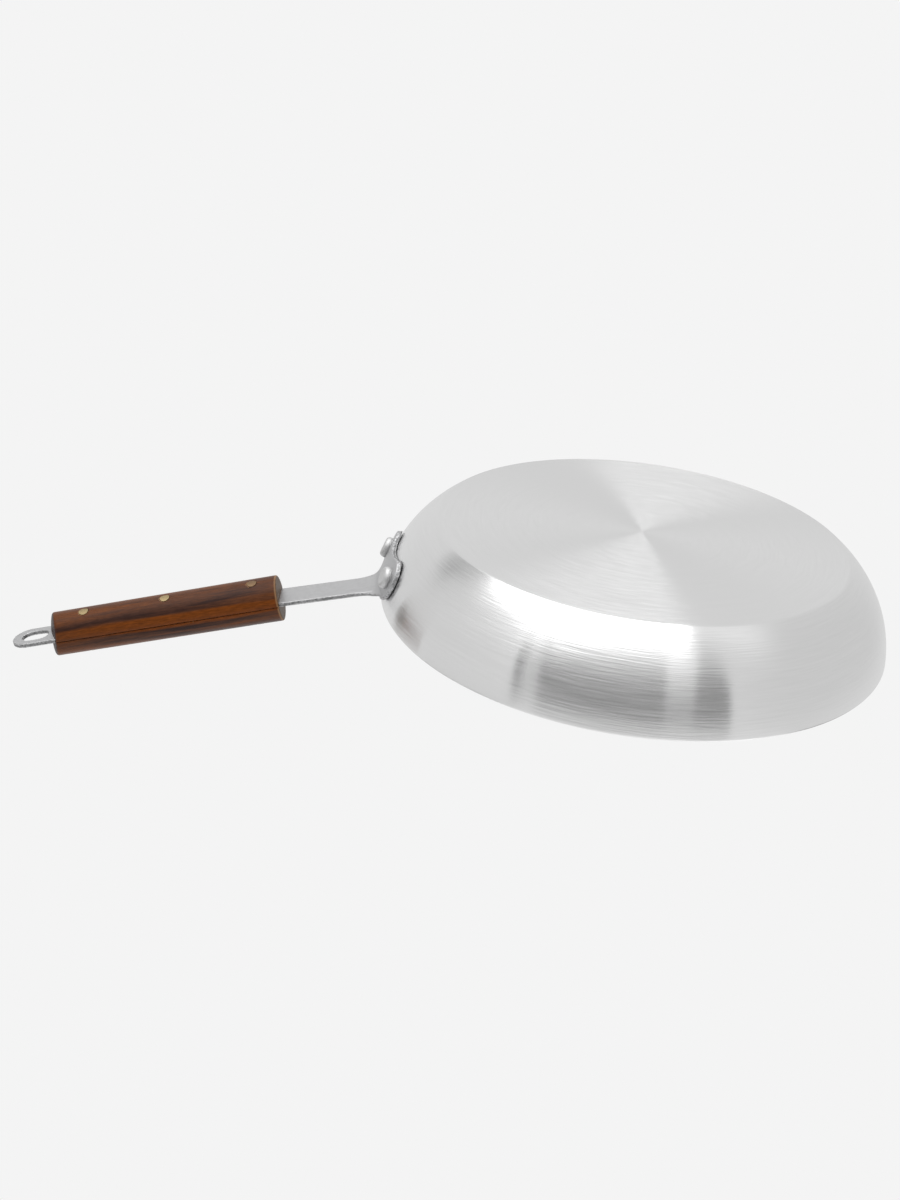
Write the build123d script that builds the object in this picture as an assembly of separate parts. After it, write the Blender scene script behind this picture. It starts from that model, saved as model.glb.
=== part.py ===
from build123d import *
import os
from math import cos, radians, sin, sqrt, tan

# An omelette pan that stands on its flat base. The origin is the middle of the base's underside, +Z is up,
# and the handle points along -X. All lengths are millimetres and all angles are degrees.

# Pan body: a spun bowl with a flat base and one curved wall
rim_diameter = 240.0
base_diameter = 192.0
pan_depth = 41.0
wall_curve_radius = 55.0
wall_thickness = 2.5
base_corner_radius = 3.0
inner_corner_radius = 8.0
rim_edge_radius = 0.9

# Handle strap: one flat strip that carries the riveting plate, the tang and the hanging hole.
# The grip's axis, run back towards the pan, passes the rim's edge at the height given here.
strap_width = 16.5
strap_thickness = 2.0
strap_length = 180.3
grip_axis_height = 35.4
handle_rise = 14.6
neck_rise = 12.9
bend_inner_radius = 5.0
neck_flare_radius = 12.0
neck_bury_depth = 0.3
flare_sink = 0.1
tip_to_slot = 4.5
slot_length = 13.0
slot_width = 9.0

# Riveting plate: two round lobes with a shallow notch between them, rounded less than the wall behind
rivet_spacing = 33.8
rivet_height = 26.2
lobe_radius = 9.3
notch_depth = 2.7
plate_axis_shift = 55.0

# Pan rivets
rivet_shank_diameter = 5.0
rivet_head_diameter = 10.2
rivet_head_flat_diameter = 7.0
rivet_head_height = 3.2
rivet_head_shoulder = 1.3
rivet_inner_head_diameter = 12.0
rivet_inner_head_height = 1.8
rivet_inner_head_edge = 0.5
rivet_hole_clearance = 0.1

# Wooden grip: two half-round scales closed over the tang
grip_inner_diameter = 22.0
grip_outer_diameter = 21.0
grip_start = 48.7
grip_length = 111.8
grip_end_rounding = 0.8
grip_seam_gap = 0.2
grip_outer_cut_yaw = 16.7
grip_outer_cut_pitch = 10.6
tang_side_clearance = 0.2
tang_face_clearance = 0.1

# Brass pins through the scales and the tang
pin_diameter = 4.5
pin_length_shares = (0.104, 0.482, 0.837)
pin_side_offset = 2.0
pin_clearance = 0.05

# How far a cutting shape runs past what it cuts
overrun = 5.0

rim_radius = rim_diameter / 2
base_radius = base_diameter / 2
pin_places = [grip_start + grip_length * share for share in pin_length_shares]


def circle_centre(start, end, radius):
    """Middle of the circle through two points of a profile, on the side of the pan's axis."""
    span = end - start
    middle = (start + end) / 2
    side = Vector(-span.Y, span.X).normalized()
    return middle + side * sqrt(radius ** 2 - (span.length / 2) ** 2)


wall_centre = circle_centre(Vector(base_radius, 0), Vector(rim_radius, pan_depth), wall_curve_radius)


def wall_radius_at(height, offset=0.0):
    """Distance from the pan's axis to the wall's outer face, or to a face offset outwards from it."""
    radius = wall_curve_radius + offset
    return wall_centre.X + sqrt(radius ** 2 - (wall_centre.Y - height) ** 2)


def turned(face):
    """A profile drawn with distance from the axis as X and height as Y, turned about the pan's axis."""
    upright = Plane.XZ * face
    return revolve(upright, Axis.Z)


def wall_band(inner_offset, outer_offset, low, high):
    """Profile that follows the wall between two offsets from its outer face and between two heights."""
    corners = [
        Vector(wall_radius_at(low, inner_offset), low),
        Vector(wall_radius_at(low, outer_offset), low),
        Vector(wall_radius_at(high, outer_offset), high),
        Vector(wall_radius_at(high, inner_offset), high),
    ]
    outer = RadiusArc(corners[1], corners[2], -(wall_curve_radius + outer_offset))
    inner = RadiusArc(corners[3], corners[0], wall_curve_radius + inner_offset)
    return make_face(Curve() + [Line(corners[0], corners[1]), outer, Line(corners[2], corners[3]), inner])


def bowl_section():
    """Half section of the pan before its corners are rounded."""
    axis_low = Vector(0, 0)
    base_edge = Vector(base_radius, 0)
    rim_outer = Vector(rim_radius, pan_depth)
    rim_inner = Vector(wall_radius_at(pan_depth, -wall_thickness), pan_depth)
    floor_edge = Vector(wall_radius_at(wall_thickness, -wall_thickness), wall_thickness)
    axis_high = Vector(0, wall_thickness)
    edges = [
        Line(axis_low, base_edge),
        RadiusArc(base_edge, rim_outer, -wall_curve_radius),
        Line(rim_outer, rim_inner),
        RadiusArc(rim_inner, floor_edge, wall_curve_radius - wall_thickness),
        Line(floor_edge, axis_high),
        Line(axis_high, axis_low),
    ]
    section = make_face(Curve() + edges)
    corners = section.vertices()
    rim_corners = corners.filter_by(lambda v: v.Y > pan_depth - wall_thickness)
    section = fillet(rim_corners, rim_edge_radius)
    floor_corner = section.vertices().sort_by_distance(Vertex(floor_edge.X, floor_edge.Y, 0))[0]
    section = fillet(floor_corner, inner_corner_radius)
    base_corner = section.vertices().sort_by_distance(Vertex(base_edge.X, base_edge.Y, 0))[0]
    return fillet(base_corner, base_corner_radius)


def wall_filling(offset, axis_shift=0.0):
    """Everything inside a face offset outwards from the wall, carried straight up past the rim.

    An axis shift keeps the face in place at the handle and rounds it less to either side.
    """
    top = pan_depth + strap_length
    foot = wall_radius_at(0, offset) + axis_shift
    lip = wall_radius_at(pan_depth, offset) + axis_shift
    edges = [
        Line((0, 0), (foot, 0)),
        RadiusArc((foot, 0), (lip, pan_depth), -(wall_curve_radius + offset)),
        Line((lip, pan_depth), (lip, top)),
        Line((lip, top), (0, top)),
        Line((0, top), (0, 0)),
    ]
    return Pos(axis_shift, 0, 0) * turned(make_face(Curve() + edges))


def rivet_plane(side):
    """Plane on the wall's outer face at a rivet, with its normal pointing out of the wall."""
    reach = wall_radius_at(rivet_height)
    across = side * rivet_spacing / 2
    out = Vector(-sqrt(reach ** 2 - across ** 2), across) / reach
    lean = (wall_centre.Y - rivet_height) / wall_curve_radius
    normal = out * sqrt(1 - lean ** 2) + Vector(0, 0, -lean)
    place = out * reach + Vector(0, 0, rivet_height)
    return Plane(origin=place, z_dir=normal)


def rivet_hole(side):
    """Cutter for one rivet's hole through the wall and the riveting plate."""
    radius = rivet_shank_diameter / 2 + rivet_hole_clearance
    length = wall_thickness + strap_thickness + 2 * overrun
    middle = (strap_thickness - wall_thickness) / 2
    return rivet_plane(side) * Pos(0, 0, middle) * Cylinder(radius, length)


def pan_body():
    body = turned(bowl_section())
    for side in (-1, 1):
        body -= rivet_hole(side)
    return body


def handle_plane():
    """Plane of the grip's axis: X runs out along the handle and Z is the upper face's direction."""
    rise = radians(handle_rise)
    place = (-rim_radius, 0, grip_axis_height)
    return Plane(origin=place, x_dir=(-cos(rise), 0, sin(rise)), z_dir=(sin(rise), 0, cos(rise)))


def direction(angle):
    """Unit step of a side view at an angle above level, away from the pan."""
    return Vector(cos(radians(angle)), sin(radians(angle)))


grip_line_start = Vector(rim_radius, grip_axis_height)
knee = grip_line_start + direction(handle_rise) * grip_start


def strap_side_view(half, buried, ends):
    """Side view of the strap: up the wall from the rivets, round the bend, then along the given ends."""
    along = direction(neck_rise)
    up = direction(neck_rise + 90)
    bend_radius = bend_inner_radius + strap_thickness / 2
    middle_layer = strap_thickness / 2 - buried
    # the bend's middle lies one bend radius under the neck and one outside the plate's middle layer
    below = knee - up * bend_radius - wall_centre
    reach = wall_curve_radius + middle_layer + bend_radius
    along_below = below.dot(along)
    travel = -along_below + sqrt(along_below ** 2 - below.dot(below) + reach ** 2)
    bend_middle = wall_centre + below + along * travel
    to_wall = (wall_centre - bend_middle).normalized()
    outer_offset = middle_layer + half
    inner_offset = middle_layer - half
    foot_outer = Vector(wall_radius_at(rivet_height, outer_offset), rivet_height)
    foot_inner = Vector(wall_radius_at(rivet_height, inner_offset), rivet_height)
    under_bend = bend_middle + up * (bend_radius - half)
    outer_bend = bend_middle + to_wall * (bend_radius - half)
    upper_bend = bend_middle + up * (bend_radius + half)
    inner_bend = bend_middle + to_wall * (bend_radius + half)
    edges = [
        Line(foot_inner, foot_outer),
        RadiusArc(foot_outer, outer_bend, -(wall_curve_radius + outer_offset)),
        RadiusArc(outer_bend, under_bend, bend_radius - half),
        Polyline(under_bend, *ends, upper_bend),
        RadiusArc(upper_bend, inner_bend, -(bend_radius + half)),
        RadiusArc(inner_bend, foot_inner, wall_curve_radius + inner_offset),
    ]
    return make_face(Curve() + edges)


def strip_plan():
    """Plan of the strap on the grip's axis, with its round tip, hanging slot and pin holes."""
    tip_radius = strap_width / 2
    back = -2 * strap_width
    straight_length = strap_length - tip_radius - back
    plan = Pos(back + straight_length / 2, 0) * Rectangle(straight_length, strap_width)
    plan += Pos(strap_length - tip_radius, 0) * Circle(tip_radius)
    slot_middle = strap_length - tip_to_slot - slot_length / 2
    plan -= Pos(slot_middle, 0) * SlotOverall(slot_length, slot_width)
    for place in pin_places:
        plan -= Pos(place, -pin_side_offset) * Circle(pin_diameter / 2 + pin_clearance)
    return plan


def bent_strip():
    """The strip with its bend at the wall and its slight knee where the grip begins."""
    half = strap_thickness / 2
    up = direction(handle_rise + 90)
    knee_angle = handle_rise - neck_rise
    mitre = direction(neck_rise + 90 + knee_angle / 2) * (half / cos(radians(knee_angle / 2)))
    tip = grip_line_start + direction(handle_rise) * (strap_length + overrun)
    ends = [knee - mitre, tip - up * half, tip + up * half, knee + mitre]
    side_view = strap_side_view(half, neck_bury_depth, ends)
    upright = Plane(origin=(0, 0, 0), x_dir=(-1, 0, 0), z_dir=(0, 1, 0)) * side_view
    strip = extrude(upright, strap_width, both=True)
    return strip & extrude(handle_plane() * strip_plan(), strap_length, both=True)


def neck_flare():
    """Widening of the neck round the bend, rounded like the plate and sunk a little into the strip."""
    half = strap_thickness / 2 - flare_sink
    up = direction(neck_rise + 90)
    side_view = strap_side_view(half, 0, [knee - up * half, knee + up * half])
    ring = Pos(plate_axis_shift, 0, 0) * turned(Pos(plate_axis_shift, 0) * side_view)
    # the outline is drawn square to the middle of the bend, from the top of the lobes outwards
    view = radians((neck_rise + 90) / 2)
    lobe_top = rivet_height + lobe_radius - strap_thickness / 2
    place = (-wall_radius_at(lobe_top, half), 0, lobe_top)
    plane = Plane(origin=place, x_dir=(-cos(view), 0, sin(view)), z_dir=(sin(view), 0, cos(view)))
    narrow = strap_width / 2
    wide = narrow + neck_flare_radius
    back = -2 * lobe_radius
    edges = [
        Line((back, -wide), (0, -wide)),
        RadiusArc((0, -wide), (neck_flare_radius, -narrow), neck_flare_radius),
        Line((neck_flare_radius, -narrow), (neck_flare_radius, narrow)),
        RadiusArc((neck_flare_radius, narrow), (0, wide), neck_flare_radius),
        Line((0, wide), (back, wide)),
        Line((back, wide), (back, -wide)),
    ]
    return ring & extrude(plane * make_face(Curve() + edges), 2 * strap_width, both=True)


def plate_outline():
    """Outline of the two-lobed plate, seen along the handle: distance across as X and height as Y."""
    half_spacing = rivet_spacing / 2
    # the notch is an arc that touches both lobes from outside and reaches its depth midway between them
    drop = (half_spacing ** 2 - notch_depth ** 2) / (2 * notch_depth)
    notch_radius = drop - lobe_radius + notch_depth
    lobes = Sketch()
    for side in (-1, 1):
        lobes += Pos(side * half_spacing, rivet_height) * Circle(lobe_radius)
    middle = Pos(0, rivet_height) * Rectangle(rivet_spacing, 2 * lobe_radius)
    foot = Pos(0, rivet_height - drop) * Circle(notch_radius)
    share = notch_radius / (notch_radius + lobe_radius)
    touch_height = rivet_height - drop + drop * share
    shelf_height = rivet_height + lobe_radius - touch_height
    shelf = Pos(0, touch_height + shelf_height / 2) * Rectangle(2 * half_spacing * share, shelf_height)
    return lobes + (middle & shelf) - foot


def riveting_plate():
    """Plate on the wall, thick on its inner side until the wall's shape is cut from it."""
    low = rivet_height - lobe_radius - overrun
    high = rivet_height + lobe_radius + strap_thickness
    band = wall_band(0, strap_thickness, low, high)
    shell = Pos(plate_axis_shift, 0, 0) * turned(Pos(plate_axis_shift, 0) * band)
    face = Plane(origin=(0, 0, 0), x_dir=(0, -1, 0), z_dir=(-1, 0, 0)) * plate_outline()
    return shell & extrude(face, rim_diameter)


def handle_strap():
    strap = riveting_plate() + neck_flare() + bent_strip()
    strap -= wall_filling(0)
    for side in (-1, 1):
        strap -= rivet_hole(side)
    return strap


def grip_rod():
    """The grip's tapered round shape about the X axis, run past both of its ends."""
    taper = (grip_inner_diameter - grip_outer_diameter) / 2 / grip_length
    long = grip_length + 4 * overrun
    middle_radius = (grip_inner_diameter + grip_outer_diameter) / 4
    start_radius = middle_radius + taper * long / 2
    end_radius = middle_radius - taper * long / 2
    middle = grip_start + grip_length / 2
    return Pos(middle, 0, 0) * Rot(0, 90, 0) * Cone(start_radius, end_radius, long)


def grip_scale(layer):
    """One half-round scale. The layer is 1 for the scale on the strap's upper face, -1 for the lower one."""
    start_cut = Plane(origin=(grip_start, 0, 0), z_dir=(1, 0, 0))
    end_tilt = (1, -tan(radians(grip_outer_cut_yaw)), -tan(radians(grip_outer_cut_pitch)))
    end_cut = Plane(origin=(grip_start + grip_length, 0, 0), z_dir=end_tilt)
    rod = split(grip_rod(), bisect_by=start_cut, keep=Keep.TOP)
    rod = split(rod, bisect_by=end_cut, keep=Keep.BOTTOM)
    rod = fillet(rod.edges().filter_by(GeomType.LINE, reverse=True), grip_end_rounding)
    seam = Plane(origin=(0, 0, layer * grip_seam_gap / 2), z_dir=(0, 0, layer))
    scale = split(rod, bisect_by=seam, keep=Keep.TOP)
    groove_length = grip_length + 4 * overrun
    groove_width = strap_width + 2 * tang_side_clearance
    groove_depth = strap_thickness + 2 * tang_face_clearance
    scale -= Pos(grip_start + grip_length / 2, 0, 0) * Box(groove_length, groove_width, groove_depth)
    for place in pin_places:
        hole = Cylinder(pin_diameter / 2 + pin_clearance, grip_inner_diameter + overrun)
        scale -= Pos(place, -pin_side_offset, 0) * hole
    return handle_plane() * scale


def grip_pin(place):
    """One pin, as long as the grip is thick there, with ends that follow the grip's round face."""
    pin = Pos(place, -pin_side_offset, 0) * Cylinder(pin_diameter / 2, grip_inner_diameter + overrun)
    return handle_plane() * (pin & grip_rod())


def outer_head_profile():
    """Half section of the head outside the pan, from just inside the plate's face to its flat top."""
    foot = strap_thickness / 2
    face = strap_thickness
    shoulder = face + rivet_head_shoulder
    top = face + rivet_head_height
    rim = rivet_head_diameter / 2
    flat = rivet_head_flat_diameter / 2
    edges = [
        Line((0, foot), (rim, foot)),
        Line((rim, foot), (rim, shoulder)),
        ThreePointArc((rim, shoulder), ((rim * 3 + flat) / 4, (shoulder + top * 3) / 4), (flat, top)),
        Line((flat, top), (0, top)),
        Line((0, top), (0, foot)),
    ]
    return make_face(Curve() + edges)


def inner_head_profile():
    """Half section of the low domed head inside the pan."""
    foot = -wall_thickness / 2
    face = -wall_thickness
    edge = face - rivet_inner_head_edge
    top = face - rivet_inner_head_height
    rim = rivet_inner_head_diameter / 2
    edges = [
        Line((0, foot), (rim, foot)),
        Line((rim, foot), (rim, edge)),
        TangentArc((0, top), (rim, edge), tangent=(1, 0)),
        Line((0, top), (0, foot)),
    ]
    return make_face(Curve() + edges)


def pan_rivet(side):
    """One rivet: a low head inside the pan, a shank, and a domed head with a flat top on the plate."""
    place = rivet_plane(side)
    outer_head = place * revolve(Plane.XZ * outer_head_profile(), Axis.Z)
    outer_head -= wall_filling(strap_thickness, plate_axis_shift)
    inner_head = place * revolve(Plane.XZ * inner_head_profile(), Axis.Z)
    inner_head -= turned(bowl_section())
    shank_top = strap_thickness + rivet_head_height / 2
    shank_foot = -wall_thickness - rivet_inner_head_height / 2
    shank_middle = (shank_top + shank_foot) / 2
    shank = place * Pos(0, 0, shank_middle) * Cylinder(rivet_shank_diameter / 2, shank_top - shank_foot)
    return outer_head + inner_head + shank


def write(name, shape):
    """Save one piece under its node's name."""
    export_step(shape, f"parts/{name}.step")


os.makedirs("parts", exist_ok=True)
write("pan_body", pan_body())
write("handle_strap", handle_strap())
write("rivet_left", pan_rivet(-1))
write("rivet_right", pan_rivet(1))
write("grip_scale_upper", grip_scale(1))
write("grip_scale_lower", grip_scale(-1))
for pin_name, pin_place in zip(("inner", "middle", "outer"), pin_places):
    write(f"grip_pin_{pin_name}", grip_pin(pin_place))
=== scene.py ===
import math

import bmesh
import bpy
from mathutils import Euler, Matrix, Vector, noise as solid_noise


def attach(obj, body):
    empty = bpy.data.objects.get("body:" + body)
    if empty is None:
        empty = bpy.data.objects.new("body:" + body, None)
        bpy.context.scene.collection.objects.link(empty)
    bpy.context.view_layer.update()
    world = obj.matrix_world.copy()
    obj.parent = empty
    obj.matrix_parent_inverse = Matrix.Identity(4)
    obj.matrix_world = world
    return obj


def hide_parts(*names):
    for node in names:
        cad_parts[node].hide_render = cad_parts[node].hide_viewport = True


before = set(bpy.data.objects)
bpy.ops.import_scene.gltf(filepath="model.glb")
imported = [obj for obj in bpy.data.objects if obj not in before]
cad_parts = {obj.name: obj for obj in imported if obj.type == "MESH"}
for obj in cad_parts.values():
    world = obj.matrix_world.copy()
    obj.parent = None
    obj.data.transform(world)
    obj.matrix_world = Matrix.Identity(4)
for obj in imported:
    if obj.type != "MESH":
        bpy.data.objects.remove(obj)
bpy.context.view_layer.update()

# Lengths are metres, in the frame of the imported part: the pan stands on its base
# and the handle runs along -X.
MM = 0.001
DEGREES = 180 / math.pi

# The photograph is taken from below the base plane, so the pan shows its underside.
CAMERA_PLACE = (-121.7 * MM, 601.3 * MM, -248.5 * MM)
CAMERA_ANGLES = (-115.899, 4.957, 0.932)
CAMERA_LENS = 41.969
CAMERA_SENSOR = 36.0
CAMERA_NEAR = 0.01
CAMERA_FAR = 20.0

# The ground of the photograph, seen by the camera where nothing else is.
BACKDROP_GREY = 0.905

FLOOR_RADIUS = 3.0
FLOOR_FADE_START = 0.9
FLOOR_FADE_END = 2.85
FLOOR_DROP = 0.2 * MM
FLOOR_CORNERS = 96

# The pan's turned profile. Its wall is one arc from the base's edge to the rim.
RIM_RADIUS = 120 * MM
BASE_RADIUS = 96 * MM
PAN_DEPTH = 41 * MM
WALL_RADIUS = 55 * MM
WALL_THICKNESS = 2.5 * MM
BASE_CORNER = 3 * MM
INNER_CORNER = 8 * MM
RIM_EDGE = 0.9 * MM

# Steps of the turned shapes, round a full turn and along the arcs of their profiles.
PAN_TURN_STEPS = 384
RIVET_TURN_STEPS = 64
CORNER_STEPS = 12
WALL_STEPS = 64
INNER_WALL_STEPS = 48
RIM_STEPS = 8
INNER_HEAD_STEPS = 8
HEAD_STEPS = 10

# The handle strap, with its knee and its bend as distance from the pan's axis and height.
HANDLE_RISE = math.radians(14.6)
NECK_RISE = math.radians(12.9)
KNEE = (167.13 * MM, 47.68 * MM)
BEND_CENTRE = (125.37 * MM, 31.96 * MM)
BEND_RADIUS = 6 * MM
STRAP_THICKNESS = 2 * MM
STRAP_VOXEL = 0.3 * MM

# The strap's cut edges: how deep their roughness is, and its coarse and fine lumps to the metre.
CUT_EDGE_ROUGHNESS = 0.10 * MM
COARSE_LUMPS = 900
FINE_LUMPS = 2300

# The riveting plate stands a little off the wall, more at its far side and along its lower edge.
PLATE_REACH = 131 * MM
PLATE_SPREAD = 26 * MM
PLATE_AXIS_SHIFT = 55 * MM
NEAR_GAP = 0.25 * MM
FAR_GAP = 0.60 * MM
LOWER_GAP = 0.45 * MM
PLATE_FADE_FOOT = 31 * MM
PLATE_FADE_TOP = 36 * MM

# The wooden grip, in a frame turned by the handle's rise: its axis's height and the places of its ends.
GRIP_AXIS_OFFSET = 4.0 * MM
GRIP_INNER_END = -173.7 * MM
GRIP_OUTER_END = -285.5 * MM
GRIP_RADIUS = 10.75 * MM
GRIP_VOXEL = 0.4 * MM
OUTER_CUT_YAW = math.radians(16.7)
OUTER_CUT_PITCH = math.radians(10.6)
END_DOME = 1.0 * MM
OUTER_ROUNDING = 1.6 * MM
INNER_ROUNDING = 0.7 * MM

# The rivets: a shank with a low head inside the pan and a flat-topped dome outside.
# The heads sink into the wall and the plate by what their seat leaves of the thickness.
RIVET_SPACING = 33.8 * MM
RIVET_HEIGHT = 26.2 * MM
SHANK_RADIUS = 2.5 * MM
HEAD_RADIUS = 5.1 * MM
HEAD_FLAT_RADIUS = 3.4 * MM
HEAD_TOP = 5.2 * MM
HEAD_SHOULDER = 3.2 * MM
HEAD_LIP_DROP = 0.10 * MM
HEAD_DISH_DROP = 0.12 * MM
INNER_HEAD_RADIUS = 6 * MM
INNER_HEAD_HEIGHT = 1.8 * MM
HEAD_SEAT = 0.9

# Brushing of the pan: changes to the metre across the rings, and how often they break round a turn.
FINE_RINGS = (1100.0, 6.0, 6.0)
BROAD_RINGS = (450.0, 2.0, 2.0)
RING_DEPTH = 0.25 * MM

# Grain of the other metals, in changes to the metre, and how deep it is.
RIVET_GRAIN = 700.0
PIN_GRAIN = 900.0
ROLLED_GRAIN = 500.0
CUT_EDGE_GRAIN = 900.0
CUT_EDGE_WANDER = 160.0
METAL_GRAIN_DEPTH = 0.1 * MM

# Grain of the wood: changes to the metre along the grip and in both directions across it.
WOOD_FIGURE = (9.0, 150.0, 150.0)
WOOD_VEINS = (30.0, 620.0, 620.0)
WOOD_PORES = (260.0, 2200.0, 2200.0)
PORE_DEPTH = 0.05 * MM

RIVET_GREY = (0.68, 0.68, 0.68, 1.0)
# The pins' brass, and a darker copy of it for the inner pin, with the same roughness and grain
LIGHTER_PIN_BRASS_COLOUR = (0.40, 0.31, 0.17, 1.0)
DARKER_PIN_BRASS_COLOUR = (0.24, 0.155, 0.09, 1.0)
WOOD_DARK = (0.032, 0.013, 0.010, 1.0)
WOOD_BROWN = (0.098, 0.036, 0.017, 1.0)
WOOD_RUSSET = (0.140, 0.042, 0.010, 1.0)
WOOD_ORANGE = (0.200, 0.050, 0.004, 1.0)
WOOD_WORN = (0.30, 0.17, 0.085, 1.0)
WOOD_SAWN = (0.095, 0.052, 0.024, 1.0)

# Brightness of the studio's parts, as the metal reflects them.
TENT = 0.76
TENT_BEYOND_PAN = 0.669
TENT_AT_HANDLE = 0.715
UPPER_TENT = 0.787
SOFT_BOX = 3.0
BOX_GLOW = 1.04
DARK_GAP = 0.212
PALE_ZONE = 0.52
BRIGHT_LINE = 0.80
STRIP_FOOT = 0.975
STRIP_TOP = 0.303
DARK_SPOT = 0.34
LIGHT_ABOVE_HANDLE = 0.95
LIGHT_ABOVE_PAN = 1.30
LIGHT_ABOVE_MIDDLE = 0.86
UPPER_SHADE = 0.25


# Node helpers


def link(tree, value, socket):
    """Connect an output to a socket, or set the socket to a plain value."""
    if isinstance(value, bpy.types.NodeSocket):
        tree.links.new(value, socket)
    else:
        socket.default_value = value


def math_node(tree, operation, *values):
    node = tree.nodes.new("ShaderNodeMath")
    node.operation = operation
    for socket, value in zip(node.inputs, values):
        link(tree, value, socket)
    return node.outputs[0]


def add(tree, a, b):
    return math_node(tree, "ADD", a, b)


def multiply(tree, a, b):
    return math_node(tree, "MULTIPLY", a, b)


def axis_distance(tree, x, y):
    return math_node(tree, "SQRT", add(tree, multiply(tree, x, x), multiply(tree, y, y)))


def rise(tree, value, low, high):
    """0 below low, 1 above high, and a smooth step between them."""
    node = tree.nodes.new("ShaderNodeMapRange")
    node.interpolation_type = "SMOOTHSTEP"
    link(tree, value, node.inputs["Value"])
    node.inputs["From Min"].default_value = low
    node.inputs["From Max"].default_value = high
    return node.outputs[0]


def ramp(tree, value, low, high, at_low, at_high):
    """A straight ramp from one value to another."""
    node = tree.nodes.new("ShaderNodeMapRange")
    link(tree, value, node.inputs["Value"])
    for name, number in zip(("From Min", "From Max", "To Min", "To Max"), (low, high, at_low, at_high)):
        node.inputs[name].default_value = number
    return node.outputs[0]


def spread(tree, texture, at_low, at_high):
    """The usual range of a noise texture, spread over two values."""
    return ramp(tree, texture, 0.3, 0.7, at_low, at_high)


def window(tree, value, low, high, soft_low, soft_high):
    """1 between low and high, fading over a soft width at each side."""
    up = rise(tree, value, low - soft_low, low + soft_low)
    down = rise(tree, value, high - soft_high, high + soft_high)
    return multiply(tree, up, math_node(tree, "SUBTRACT", 1.0, down))


def blend(tree, amount, a, b):
    """Numbers a and b mixed by an amount from 0 to 1."""
    node = tree.nodes.new("ShaderNodeMix")
    link(tree, amount, node.inputs[0])
    link(tree, a, node.inputs[2])
    link(tree, b, node.inputs[3])
    return node.outputs[0]


def blend_colour(tree, amount, a, b, mode="MIX"):
    """Colours a and b mixed by an amount from 0 to 1."""
    node = tree.nodes.new("ShaderNodeMix")
    node.data_type = "RGBA"
    node.blend_type = mode
    link(tree, amount, node.inputs[0])
    link(tree, a, node.inputs[6])
    link(tree, b, node.inputs[7])
    return node.outputs[2]


def colour_ramp(tree, value, stops):
    """A colour that goes through the stops, which are pairs of a value and a colour."""
    node = tree.nodes.new("ShaderNodeValToRGB")
    link(tree, value, node.inputs[0])
    elements = node.color_ramp.elements
    while len(elements) < len(stops):
        elements.new(0.5)
    for element, (place, colour) in zip(elements, stops):
        element.position = place
        element.color = colour
    return node.outputs[0]


def separate(tree, vector):
    node = tree.nodes.new("ShaderNodeSeparateXYZ")
    link(tree, vector, node.inputs[0])
    return node.outputs


def combine(tree, x, y, z):
    node = tree.nodes.new("ShaderNodeCombineXYZ")
    for socket, value in zip(node.inputs, (x, y, z)):
        link(tree, value, socket)
    return node.outputs[0]


def grey(tree, value):
    return combine(tree, value, value, value)


def shaded(tree, colour, shade):
    """A colour made darker or lighter by a number round 1."""
    return blend_colour(tree, 1.0, colour, grey(tree, shade), "MULTIPLY")


def scaled(tree, place, scales):
    """A place's three values, each times its own scale."""
    return combine(tree, *[multiply(tree, value, scale) for value, scale in zip(place, scales)])


def noise(tree, vector, scale, detail, roughness=0.5):
    node = tree.nodes.new("ShaderNodeTexNoise")
    link(tree, vector, node.inputs["Vector"])
    node.inputs["Scale"].default_value = scale
    node.inputs["Detail"].default_value = detail
    node.inputs["Roughness"].default_value = roughness
    return node.outputs[0]


def object_place(tree):
    return tree.nodes.new("ShaderNodeTexCoord").outputs["Object"]


def mesh_value(tree, name):
    """A number that the mesh holds for each of its points."""
    node = tree.nodes.new("ShaderNodeAttribute")
    node.attribute_name = name
    return node.outputs["Fac"]


def new_material(name):
    """A material with its tree and its Principled shader."""
    material = bpy.data.materials.new(name)
    material.use_nodes = True
    shader = material.node_tree.nodes["Principled BSDF"]
    return material, material.node_tree, shader


def bump(tree, height, strength, distance, shader):
    node = tree.nodes.new("ShaderNodeBump")
    node.inputs["Strength"].default_value = strength
    node.inputs["Distance"].default_value = distance
    link(tree, height, node.inputs["Height"])
    link(tree, node.outputs[0], shader.inputs["Normal"])


# Materials


def turned_aluminium():
    """Aluminium brushed in circles round the pan's axis."""
    material, tree, shader = new_material("turned_aluminium")
    x, y, z = separate(tree, object_place(tree))
    radius = axis_distance(tree, x, y)
    safe_radius = math_node(tree, "MAXIMUM", radius, 1 * MM)
    cosine = math_node(tree, "DIVIDE", x, safe_radius)
    sine = math_node(tree, "DIVIDE", y, safe_radius)
    place = (add(tree, radius, z), cosine, sine)
    fine = noise(tree, scaled(tree, place, FINE_RINGS), 1.0, 2.0)
    broad = noise(tree, scaled(tree, place, BROAD_RINGS), 1.0, 2.0)
    rings = add(tree, multiply(tree, fine, 0.65), multiply(tree, broad, 0.35))
    link(tree, grey(tree, ramp(tree, rings, 0.35, 0.65, 0.835, 0.865)), shader.inputs["Base Color"])
    link(tree, ramp(tree, rings, 0.35, 0.65, 0.19, 0.235), shader.inputs["Roughness"])
    shader.inputs["Metallic"].default_value = 1.0
    shader.inputs["Anisotropic"].default_value = 1.0
    shader.inputs["Anisotropic Rotation"].default_value = 0.25
    tangent = tree.nodes.new("ShaderNodeTangent")
    tangent.direction_type = "RADIAL"
    tangent.axis = "Z"
    link(tree, tangent.outputs[0], shader.inputs["Tangent"])
    bump(tree, rings, 0.5, RING_DEPTH, shader)
    return material


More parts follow.
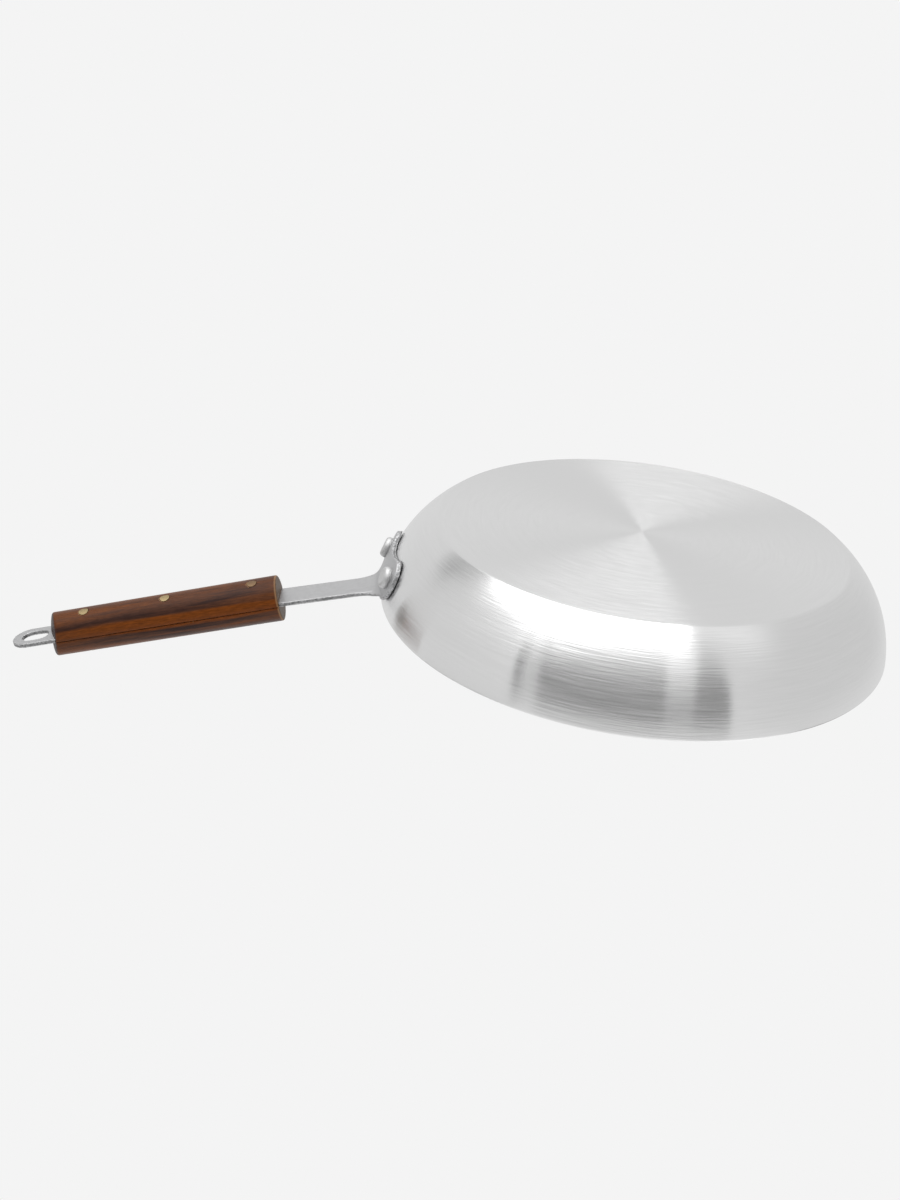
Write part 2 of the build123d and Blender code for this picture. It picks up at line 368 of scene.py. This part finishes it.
def plain_metal(name, colour, roughness, grain, bump_strength):
    """A metal with a fine mottled grain, its roughness between two values."""
    material, tree, shader = new_material(name)
    mottle = noise(tree, object_place(tree), grain, 4.0, 0.6)
    link(tree, shaded(tree, colour, spread(tree, mottle, 0.93, 1.05)), shader.inputs["Base Color"])
    link(tree, spread(tree, mottle, *roughness), shader.inputs["Roughness"])
    shader.inputs["Metallic"].default_value = 1.0
    bump(tree, mottle, bump_strength, METAL_GRAIN_DEPTH, shader)
    return material


def cut_edge_grey(tree, place, speckle):
    """Grey of the strap's cut edges: a bright, a torn dark and a dull line, from the lower face up."""
    wander = spread(tree, noise(tree, place, CUT_EDGE_WANDER, 3.0), -0.35, 0.35)
    depth = add(tree, mesh_value(tree, "through"), wander)
    bright = ramp(tree, speckle, 0.40, 0.60, 0.30, 0.66)
    torn = ramp(tree, speckle, 0.35, 0.65, 0.16, 0.42)
    dull = ramp(tree, speckle, 0.35, 0.65, 0.34, 0.60)
    shade = blend(tree, rise(tree, depth, -0.65, -0.35), dull, torn)
    return blend(tree, rise(tree, depth, 0.05, 0.35), shade, bright)


def strap_steel():
    """Dull rolled steel with rough cut edges."""
    material, tree, shader = new_material("strap_steel")
    place = object_place(tree)
    mottle = noise(tree, place, ROLLED_GRAIN, 4.0, 0.6)
    speckle = noise(tree, place, CUT_EDGE_GRAIN, 3.0, 0.7)
    edge = rise(tree, mesh_value(tree, "cut_edge"), 0.25, 0.75)
    shade = blend(tree, edge, spread(tree, mottle, 0.50, 0.55), cut_edge_grey(tree, place, speckle))
    link(tree, combine(tree, shade, shade, multiply(tree, shade, 1.01)), shader.inputs["Base Color"])
    link(tree, blend(tree, edge, spread(tree, mottle, 0.42, 0.52), 0.6), shader.inputs["Roughness"])
    shader.inputs["Metallic"].default_value = 1.0
    bump(tree, blend(tree, edge, mottle, speckle), 0.10, METAL_GRAIN_DEPTH, shader)
    return material


def grip_place(tree):
    """A point's place with X along the grip and Z square to the strap's faces."""
    mapping = tree.nodes.new("ShaderNodeMapping")
    mapping.vector_type = "POINT"
    mapping.inputs["Rotation"].default_value = (0.0, -HANDLE_RISE, 0.0)
    link(tree, object_place(tree), mapping.inputs["Vector"])
    return separate(tree, mapping.outputs[0])


def with_side_veins(tree, colour, place, figure):
    """The wood's colour with an orange band beside the seam and a dark vein slanting over it."""
    x, y, z = place
    around = multiply(tree, math_node(tree, "ARCTAN2", add(tree, z, -GRIP_AXIS_OFFSET), y), DEGREES)
    around = add(tree, around, spread(tree, figure, -14.0, 14.0))
    share = ramp(tree, x, GRIP_OUTER_END, GRIP_INNER_END, 0.0, 1.0)
    band = window(tree, around, -27, -1, 8, 3)
    band = multiply(tree, band, ramp(tree, share, 0.0, 0.35, 0.25, 0.75))
    vein = window(tree, add(tree, around, multiply(tree, share, 36.0)), -39, -22, 9, 9)
    vein = multiply(tree, vein, ramp(tree, share, 0.0, 1.0, 0.85, 0.25))
    colour = blend_colour(tree, band, colour, WOOD_ORANGE)
    return blend_colour(tree, vein, colour, WOOD_DARK)


def with_ends(tree, colour, pores):
    """The wood's colour with a sawn end and a worn corner towards the pan, and a dark outer end."""
    facing = tree.nodes.new("ShaderNodeVectorMath")
    facing.operation = "DOT_PRODUCT"
    link(tree, tree.nodes.new("ShaderNodeTexCoord").outputs["Normal"], facing.inputs[0])
    facing.inputs[1].default_value = (math.cos(HANDLE_RISE), 0.0, -math.sin(HANDLE_RISE))
    towards_pan = facing.outputs["Value"]
    outwards = multiply(tree, towards_pan, -1.0)
    worn = multiply(tree, window(tree, towards_pan, 0.2, 0.9, 0.15, 0.06), 0.8)
    sawn = shaded(tree, WOOD_SAWN, spread(tree, pores, 0.7, 1.2))
    colour = blend_colour(tree, worn, colour, WOOD_WORN)
    colour = blend_colour(tree, rise(tree, towards_pan, 0.85, 0.95), colour, sawn)
    return blend_colour(tree, rise(tree, outwards, 0.4, 0.9), colour, WOOD_DARK)


def lacquered_wood():
    """Reddish-brown hardwood with its grain along the handle."""
    material, tree, shader = new_material("lacquered_wood")
    place = grip_place(tree)
    figure = noise(tree, scaled(tree, place, WOOD_FIGURE), 1.0, 3.0)
    veins = noise(tree, scaled(tree, place, WOOD_VEINS), 1.0, 3.0, 0.6)
    pores = noise(tree, scaled(tree, place, WOOD_PORES), 1.0, 2.0, 0.6)
    grain = add(tree, multiply(tree, figure, 0.7), multiply(tree, veins, 0.3))
    stops = [(0.38, WOOD_DARK), (0.46, WOOD_BROWN), (0.56, WOOD_RUSSET), (0.66, WOOD_BROWN)]
    colour = with_side_veins(tree, colour_ramp(tree, grain, stops), place, figure)
    colour = shaded(tree, colour, spread(tree, pores, 0.72, 1.3))
    link(tree, with_ends(tree, colour, pores), shader.inputs["Base Color"])
    link(tree, spread(tree, pores, 0.33, 0.45), shader.inputs["Roughness"])
    shader.inputs["Specular IOR Level"].default_value = 0.15
    bump(tree, pores, 0.15, PORE_DEPTH, shader)
    return material


# Shapes. The points of a profile are pairs of the distance from the axis and the height.


def circle_centre(start, end, radius):
    """Middle of the circle through two points of a profile, on the side of the axis."""
    run, climb = end[0] - start[0], end[1] - start[1]
    span = math.hypot(run, climb)
    reach = math.sqrt(radius ** 2 - (span / 2) ** 2)
    return (start[0] + run / 2 - climb / span * reach, start[1] + climb / 2 + run / span * reach)


WALL_CENTRE = circle_centre((BASE_RADIUS, 0.0), (RIM_RADIUS, PAN_DEPTH), WALL_RADIUS)


def oval_arc(centre, across, along, start, end, steps):
    """Points of a profile along an ellipse, its angles in radians from outwards towards up."""
    angles = [start + (end - start) * step / steps for step in range(steps + 1)]
    return [(centre[0] + across * math.cos(angle), centre[1] + along * math.sin(angle)) for angle in angles]


def arc(centre, radius, start, end, steps):
    return oval_arc(centre, radius, radius, start, end, steps)


def wall_angle(point):
    """Angle at the wall's centre of a point of the profile."""
    return math.atan2(point[1] - WALL_CENTRE[1], point[0] - WALL_CENTRE[0])


def touching(height, reach):
    """Point at a height whose distance from the wall's centre is the reach."""
    return (WALL_CENTRE[0] + math.sqrt(reach ** 2 - (WALL_CENTRE[1] - height) ** 2), height)


def pan_profile():
    """Half section of the pan, from the middle of its underside round the rim to the middle of its floor."""
    inner_radius = WALL_RADIUS - WALL_THICKNESS
    base = touching(BASE_CORNER, WALL_RADIUS - BASE_CORNER)
    rim_outer = touching(PAN_DEPTH - RIM_EDGE, WALL_RADIUS - RIM_EDGE)
    rim_inner = touching(PAN_DEPTH - RIM_EDGE, inner_radius + RIM_EDGE)
    floor_corner = touching(WALL_THICKNESS + INNER_CORNER, inner_radius - INNER_CORNER)
    down, up = -math.pi / 2, math.pi / 2
    outer_angles = (wall_angle(base), wall_angle(rim_outer))
    inner_angles = (wall_angle(rim_inner), wall_angle(floor_corner))
    flat_shares = (0.0, 0.04, 0.2, 0.45, 0.7, 0.9)
    points = [(base[0] * share, 0.0) for share in flat_shares]
    points += arc(base, BASE_CORNER, down, wall_angle(base), CORNER_STEPS)
    points += arc(WALL_CENTRE, WALL_RADIUS, *outer_angles, WALL_STEPS)[1:-1]
    points += arc(rim_outer, RIM_EDGE, wall_angle(rim_outer), up, RIM_STEPS)
    points += arc(rim_inner, RIM_EDGE, up, wall_angle(rim_inner) + math.pi, RIM_STEPS)
    points += arc(WALL_CENTRE, inner_radius, *inner_angles, INNER_WALL_STEPS)[1:-1]
    points += arc(floor_corner, INNER_CORNER, wall_angle(floor_corner), down, CORNER_STEPS)
    points += [(floor_corner[0] * share, WALL_THICKNESS) for share in reversed(flat_shares)]
    return points


def turned_mesh(name, profile, steps):
    """A profile turned about the Z axis. Its first and last points lie on the axis."""
    shape = bmesh.new()
    first = shape.verts.new((0.0, 0.0, profile[0][1]))
    last = shape.verts.new((0.0, 0.0, profile[-1][1]))
    angles = [2 * math.pi * step / steps for step in range(steps)]
    rings = []
    for radius, height in profile[1:-1]:
        rings.append([shape.verts.new((radius * math.cos(a), radius * math.sin(a), height)) for a in angles])
    for step in range(steps):
        after = (step + 1) % steps
        shape.faces.new((first, rings[0][after], rings[0][step]))
        for low, high in zip(rings, rings[1:]):
            shape.faces.new((low[step], low[after], high[after], high[step]))
        shape.faces.new((last, rings[-1][step], rings[-1][after]))
    mesh = bpy.data.meshes.new(name)
    shape.to_mesh(mesh)
    shape.free()
    return mesh


def softened_mesh(node_name, voxel, rounds):
    """A CAD node's shape with its edges rounded off."""
    draft = bpy.data.objects.new("draft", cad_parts[node_name].data.copy())
    bpy.context.scene.collection.objects.link(draft)
    remesh = draft.modifiers.new("remesh", "REMESH")
    remesh.mode = "VOXEL"
    remesh.voxel_size = voxel
    soften = draft.modifiers.new("soften", "SMOOTH")
    soften.factor = 0.5
    soften.iterations = rounds
    graph = bpy.context.evaluated_depsgraph_get()
    mesh = bpy.data.meshes.new_from_object(draft.evaluated_get(graph))
    bpy.data.objects.remove(draft)
    return mesh


def limited(value):
    """A number kept between 0 and 1."""
    return min(1.0, max(0.0, value))


def leaning(outwards, slope):
    """A direction of the strap's side view, seen in the upright plane that holds the outwards direction."""
    return outwards * slope.x + Vector((0.0, 0.0, slope.y))


def strap_place(place):
    """Direction from the strap's upper face to its lower one, and the depth below its middle layer."""
    reach = math.hypot(place.x, place.y)
    from_bend = Vector((reach - BEND_CENTRE[0], place.z - BEND_CENTRE[1]))
    neck = Vector((math.cos(NECK_RISE), math.sin(NECK_RISE)))
    wall_side = Vector((WALL_CENTRE[0] - BEND_CENTRE[0], WALL_CENTRE[1] - BEND_CENTRE[1])).normalized()
    if from_bend.dot(neck) > 0:
        angle = NECK_RISE if -place.x < KNEE[0] else HANDLE_RISE
        down = Vector((-math.sin(angle), 0.0, -math.cos(angle)))
        return down, down.dot(place - Vector((-KNEE[0], 0.0, KNEE[1])))
    outwards = Vector((place.x / reach, place.y / reach, 0.0))
    if wall_side.x * from_bend.y - wall_side.y * from_bend.x < 0:
        return leaning(outwards, -from_bend.normalized()), BEND_RADIUS - from_bend.length
    from_wall_centre = Vector((reach - WALL_CENTRE[0], place.z - WALL_CENTRE[1]))
    depth = from_wall_centre.length - WALL_RADIUS - STRAP_THICKNESS / 2
    return leaning(outwards, from_wall_centre.normalized()), depth


def plate_gap(place):
    """How far the plate is moved off the wall, so that it stands off as in the photograph."""
    reach = math.hypot(place.x, place.y)
    if reach > PLATE_REACH:
        return 0.0
    # the CAD plate's axis is farther from it than the pan's is, so it has a gap of its own
    own = place.y ** 2 / 2 * (1 / reach - 1 / (reach + PLATE_AXIS_SHIFT))
    side = (place.y / PLATE_SPREAD) ** 2 * (NEAR_GAP if place.y > 0 else FAR_GAP)
    drop = max(0.0, RIVET_HEIGHT - place.z) / (RIVET_HEIGHT / 3)
    fade = limited((PLATE_FADE_TOP - place.z) / (PLATE_FADE_TOP - PLATE_FADE_FOOT))
    return (side - own) * fade + LOWER_GAP * drop ** 2


def edge_roughness(place):
    """Coarse and fine lumps of a cut edge, above or below 0, the same at a place in every run."""
    return solid_noise.noise(place * COARSE_LUMPS) * 0.6 + solid_noise.noise(place * FINE_LUMPS) * 0.4


def strap_mesh():
    """The strap with softened edges, rough where it was cut out, which its material reads from the mesh."""
    mesh = softened_mesh("handle_strap", STRAP_VOXEL, 2)
    mesh.name = "riveted_strap"
    cut = mesh.attributes.new("cut_edge", "FLOAT", "POINT")
    through = mesh.attributes.new("through", "FLOAT", "POINT")
    places = [vertex.co.copy() for vertex in mesh.vertices]
    normals = [vertex.normal.copy() for vertex in mesh.vertices]
    for index, (place, normal) in enumerate(zip(places, normals)):
        down, depth = strap_place(place)
        edge = limited((0.9 - abs(normal.dot(down))) / 0.4)
        cut.data[index].value = edge
        through.data[index].value = depth / (STRAP_THICKNESS / 2)
        moved = place + normal * (edge_roughness(place) * edge * CUT_EDGE_ROUGHNESS)
        mesh.vertices[index].co = moved + down * plate_gap(place)
    return mesh


def worn_factor(depth, rounding):
    """How much narrower the grip is at a depth inside an end with a rounded edge."""
    share = limited(1 - depth / rounding)
    return 1 - rounding / GRIP_RADIUS * (1 - math.sqrt(1 - share ** 2))


def grip_mesh(name, node_name):
    """A wooden scale with worn ends, the outer one a little domed."""
    mesh = softened_mesh(node_name, GRIP_VOXEL, 3)
    mesh.name = name
    turn = Matrix.Rotation(-HANDLE_RISE, 4, "Y")
    turn_back = turn.inverted()
    outer_cut = Vector((-1.0, math.tan(OUTER_CUT_YAW), -math.tan(OUTER_CUT_PITCH))).normalized()
    outer_end = Vector((GRIP_OUTER_END, 0.0, 0.0))
    for vertex in mesh.vertices:
        place = turn @ vertex.co - Vector((0.0, 0.0, GRIP_AXIS_OFFSET))
        across = math.hypot(place.y, place.z) / GRIP_RADIUS
        depth = (outer_end - place).dot(outer_cut)
        factor = worn_factor(depth, OUTER_ROUNDING) * worn_factor(GRIP_INNER_END - place.x, INNER_ROUNDING)
        bulge = END_DOME * max(0.0, 1 - across ** 2) * max(0.0, 1 - max(0.0, depth) / (4 * END_DOME))
        place = Vector((place.x - bulge, place.y * factor, place.z * factor + GRIP_AXIS_OFFSET))
        vertex.co = turn_back @ place
    return mesh


def rivet_profile():
    """Half section of a rivet along its own axis, from the inner head's top to the outer head's top."""
    inner_foot = -WALL_THICKNESS * HEAD_SEAT
    outer_foot = STRAP_THICKNESS * HEAD_SEAT
    inner_rise = -WALL_THICKNESS - INNER_HEAD_HEIGHT - inner_foot
    shoulder = (HEAD_FLAT_RADIUS, HEAD_SHOULDER)
    dome = (HEAD_RADIUS - HEAD_FLAT_RADIUS, HEAD_TOP - HEAD_SHOULDER)
    points = oval_arc((0.0, inner_foot), INNER_HEAD_RADIUS, inner_rise, math.pi / 2, 0.0, INNER_HEAD_STEPS)
    points += [(SHANK_RADIUS, inner_foot), (SHANK_RADIUS, outer_foot), (HEAD_RADIUS, outer_foot)]
    points += oval_arc(shoulder, *dome, 0.0, math.pi / 2, HEAD_STEPS)
    points.append((HEAD_FLAT_RADIUS * 0.93, HEAD_TOP - HEAD_LIP_DROP))
    points += [(HEAD_FLAT_RADIUS * share, HEAD_TOP - HEAD_DISH_DROP) for share in (0.5, 0.0)]
    return points


def rivet_mesh(name, side):
    """A rivet turned about its axis and set square to the wall."""
    mesh = turned_mesh(name, rivet_profile(), RIVET_TURN_STEPS)
    reach = touching(RIVET_HEIGHT, WALL_RADIUS)[0]
    across = side * RIVET_SPACING / 2
    place = Vector((-math.sqrt(reach ** 2 - across ** 2), across, RIVET_HEIGHT))
    share = (reach - WALL_CENTRE[0]) / reach
    normal = Vector((place.x * share, place.y * share, place.z - WALL_CENTRE[1])).normalized()
    turn = Vector((0.0, 0.0, 1.0)).rotation_difference(normal).to_matrix().to_4x4()
    mesh.transform(Matrix.Translation(place) @ turn)
    return mesh


def new_piece(name, mesh, material, node):
    """A finished mesh as a piece of the part, in the place of one CAD node."""
    piece = bpy.data.objects.new(name, mesh)
    bpy.context.scene.collection.objects.link(piece)
    mesh.materials.clear()
    mesh.materials.append(material)
    for polygon in mesh.polygons:
        polygon.use_smooth = True
    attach(piece, "root")
    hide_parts(node)


# The part

PAN = turned_aluminium()
STRAP = strap_steel()
RIVET = plain_metal("rivet_aluminium", RIVET_GREY, (0.54, 0.64), RIVET_GRAIN, 0.05)
BRASS = plain_metal("pin_brass", LIGHTER_PIN_BRASS_COLOUR, (0.45, 0.55), PIN_GRAIN, 0.03)
# The inner pin's material: the pin brass made darker, its roughness and grain unchanged
DARKER_PIN_BRASS = plain_metal("pin_brass_darker", DARKER_PIN_BRASS_COLOUR, (0.45, 0.55), PIN_GRAIN, 0.03)
WOOD = lacquered_wood()

FINISHES = {
    "pan_body": PAN,
    "handle_strap": STRAP,
    "rivet_left": RIVET,
    "rivet_right": RIVET,
    "grip_scale_upper": WOOD,
    "grip_scale_lower": WOOD,
    "grip_pin_inner": DARKER_PIN_BRASS,
    "grip_pin_middle": BRASS,
    "grip_pin_outer": BRASS,
}
for node_name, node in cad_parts.items():
    node.data.materials.clear()
    node.data.materials.append(FINISHES[node_name])

pan_mesh = turned_mesh("turned_pan", pan_profile(), PAN_TURN_STEPS)
new_piece("turned_pan", pan_mesh, PAN, "pan_body")
new_piece("riveted_strap", strap_mesh(), STRAP, "handle_strap")
for side_name, side_sign in (("left", -1), ("right", 1)):
    piece_name = f"domed_rivet_{side_name}"
    new_piece(piece_name, rivet_mesh(piece_name, side_sign), RIVET, f"rivet_{side_name}")
for layer in ("upper", "lower"):
    node_name = f"grip_scale_{layer}"
    piece_name = f"wooden_scale_{layer}"
    new_piece(piece_name, grip_mesh(piece_name, node_name), WOOD, node_name)


# Floor, world and camera


def floor_paper():
    """Pale paper that camera rays see from above only, and that fades out far from the pan."""
    material, tree, shader = new_material("floor_paper")
    place = object_place(tree)
    x, y, _ = separate(tree, place)
    tone = spread(tree, noise(tree, place, 60.0, 3.0), 0.93, 0.94)
    link(tree, grey(tree, tone), shader.inputs["Base Color"])
    shader.inputs["Roughness"].default_value = 0.9
    shader.inputs["Specular IOR Level"].default_value = 0.0
    far = rise(tree, axis_distance(tree, x, y), FLOOR_FADE_START, FLOOR_FADE_END)
    back = tree.nodes.new("ShaderNodeNewGeometry").outputs["Backfacing"]
    camera_ray = tree.nodes.new("ShaderNodeLightPath").outputs["Is Camera Ray"]
    unseen = math_node(tree, "MAXIMUM", back, math_node(tree, "SUBTRACT", 1.0, camera_ray))
    unseen = math_node(tree, "MAXIMUM", unseen, far)
    clear = tree.nodes.new("ShaderNodeBsdfTransparent")
    mix = tree.nodes.new("ShaderNodeMixShader")
    link(tree, unseen, mix.inputs[0])
    link(tree, shader.outputs[0], mix.inputs[1])
    link(tree, clear.outputs[0], mix.inputs[2])
    link(tree, mix.outputs[0], tree.nodes["Material Output"].inputs["Surface"])
    return material


def floor():
    """A pale floor just under the pan."""
    bpy.ops.mesh.primitive_circle_add(vertices=FLOOR_CORNERS, radius=FLOOR_RADIUS, fill_type="NGON")
    disc = bpy.context.object
    disc.name = "floor"
    disc.location = (0, 0, -FLOOR_DROP)
    disc.data.materials.append(floor_paper())


def patch(tree, level, amount, *windows):
    """The level so far, changed to an amount inside all of the windows."""
    share = 1.0
    for value, low, high, soft_low, soft_high in windows:
        share = multiply(tree, share, window(tree, value, low, high, soft_low, soft_high))
    return blend(tree, share, level, amount)


def with_soft_box(tree, level, x, y, z):
    """The level with the long soft box under the base plane and the weaker glow beside it."""
    box_side = add(tree, x, multiply(tree, add(tree, y, -0.2), -0.073))
    below = (z, -1.2, -0.15, 0.05, 0.15)
    glow_columns = (box_side, 0.0, 0.66, 0.05, 0.12)
    glow_rows = (y, -0.05, 0.24, 0.12, 0.1)
    level = patch(tree, level, BOX_GLOW, glow_columns, glow_rows, below)
    box_start = (x, -0.57, 1.2, 0.10, 0.05)
    box_end = (box_side, -1.2, 0.282, 0.05, 0.02)
    box_rows = (y, -0.50, 0.362, 0.12, 0.25)
    return patch(tree, level, SOFT_BOX, box_start, box_end, box_rows, below)


def with_dark_gap(tree, level, azimuth, elevation):
    """The level with the dark gap in front of the pan, its pale zone and the two bright lines in that."""
    left_slant = add(tree, azimuth, multiply(tree, elevation, 0.16))
    right_slant = add(tree, azimuth, multiply(tree, elevation, -0.065))
    gap_right = (right_slant, 53.2, 170, 1.2, 1)
    gap_left = (left_slant, 40, 145.0, 1, 0.6)
    level = patch(tree, level, DARK_GAP, gap_right, gap_left, (elevation, -40, 7.8, 25, 1.5))
    zone = (left_slant, 133.4, 139.0, 1.5, 0.5)
    level = patch(tree, level, PALE_ZONE, zone, (elevation, -50, 7.8, 8, 1.5))
    for middle in (138.9, 140.9):
        line = (left_slant, middle - 0.4, middle + 0.4, 0.3, 0.3)
        level = patch(tree, level, BRIGHT_LINE, line, (elevation, -60, 7, 8, 5))
    return level


def with_strip(tree, level, x, y, elevation):
    """The level with an upright strip across the dark gap, brighter towards its foot."""
    amount = ramp(tree, elevation, -50.0, -10.0, STRIP_FOOT, STRIP_TOP)
    columns = (x, 0.155, 0.355, 0.012, 0.012)
    return patch(tree, level, amount, columns, (y, 0.30, 1.1, 0.05, 0.05), (elevation, -65, 7.8, 6, 1.5))


def with_light_above(tree, level, x, z, azimuth, elevation):
    """The level with the tent's upper half, the light above the pan and two shades beside it."""
    level = blend(tree, rise(tree, z, 0.10, 0.40), level, UPPER_TENT)
    light = blend(tree, rise(tree, x, -0.30, 0.35), LIGHT_ABOVE_HANDLE, LIGHT_ABOVE_PAN)
    light = blend(tree, rise(tree, z, 0.86, 0.98), light, LIGHT_ABOVE_MIDDLE)
    level = blend(tree, rise(tree, z, 0.55, 0.75), level, light)
    level = patch(tree, level, UPPER_SHADE, (azimuth, -75, 10, 8, 8), (elevation, 36, 48, 5, 4))
    over_handle = (math_node(tree, "ABSOLUTE", azimuth), 150, 190, 6, 1)
    return patch(tree, level, UPPER_SHADE, over_handle, (elevation, 30, 42, 5, 4))


def studio_level(tree):
    """Brightness of the studio by direction, worked out from what the photographed metal reflects."""
    direction = tree.nodes.new("ShaderNodeTexCoord").outputs["Generated"]
    x, y, z = separate(tree, direction)
    azimuth = multiply(tree, math_node(tree, "ARCTAN2", y, x), DEGREES)
    elevation = multiply(tree, math_node(tree, "ARCSINE", z), DEGREES)
    level = blend(tree, rise(tree, x, 0.3, 0.9), TENT, TENT_BEYOND_PAN)
    level = patch(tree, level, TENT_AT_HANDLE, (x, -1.2, -0.6, 0.1, 0.3))
    level = with_soft_box(tree, level, x, y, z)
    level = with_dark_gap(tree, level, azimuth, elevation)
    level = with_strip(tree, level, x, y, elevation)
    level = patch(tree, level, DARK_SPOT, (azimuth, -147, -132, 1.5, 4), (elevation, -52, -26, 5, 2))
    return with_light_above(tree, level, x, z, azimuth, elevation)


def studio():
    """A pale tent with a long soft box under the base plane, which is over the pan as it was photographed."""
    world = bpy.data.worlds.new("studio")
    bpy.context.scene.world = world
    world.use_nodes = True
    tree = world.node_tree
    background = tree.nodes["Background"]
    seen = tree.nodes.new("ShaderNodeLightPath").outputs["Is Camera Ray"]
    link(tree, blend(tree, seen, studio_level(tree), BACKDROP_GREY), background.inputs["Strength"])
    background.inputs["Color"].default_value = (1, 1, 1, 1)


def camera():
    """The camera of the photograph."""
    data = bpy.data.cameras.new("camera")
    data.sensor_width = CAMERA_SENSOR
    data.lens = CAMERA_LENS
    data.clip_start = CAMERA_NEAR
    data.clip_end = CAMERA_FAR
    view = bpy.data.objects.new("camera", data)
    view.location = CAMERA_PLACE
    view.rotation_euler = Euler([math.radians(angle) for angle in CAMERA_ANGLES], "XYZ")
    bpy.context.scene.collection.objects.link(view)
    bpy.context.scene.camera = view


floor()
studio()
camera()
bpy.context.scene.view_settings.view_transform = "Standard"
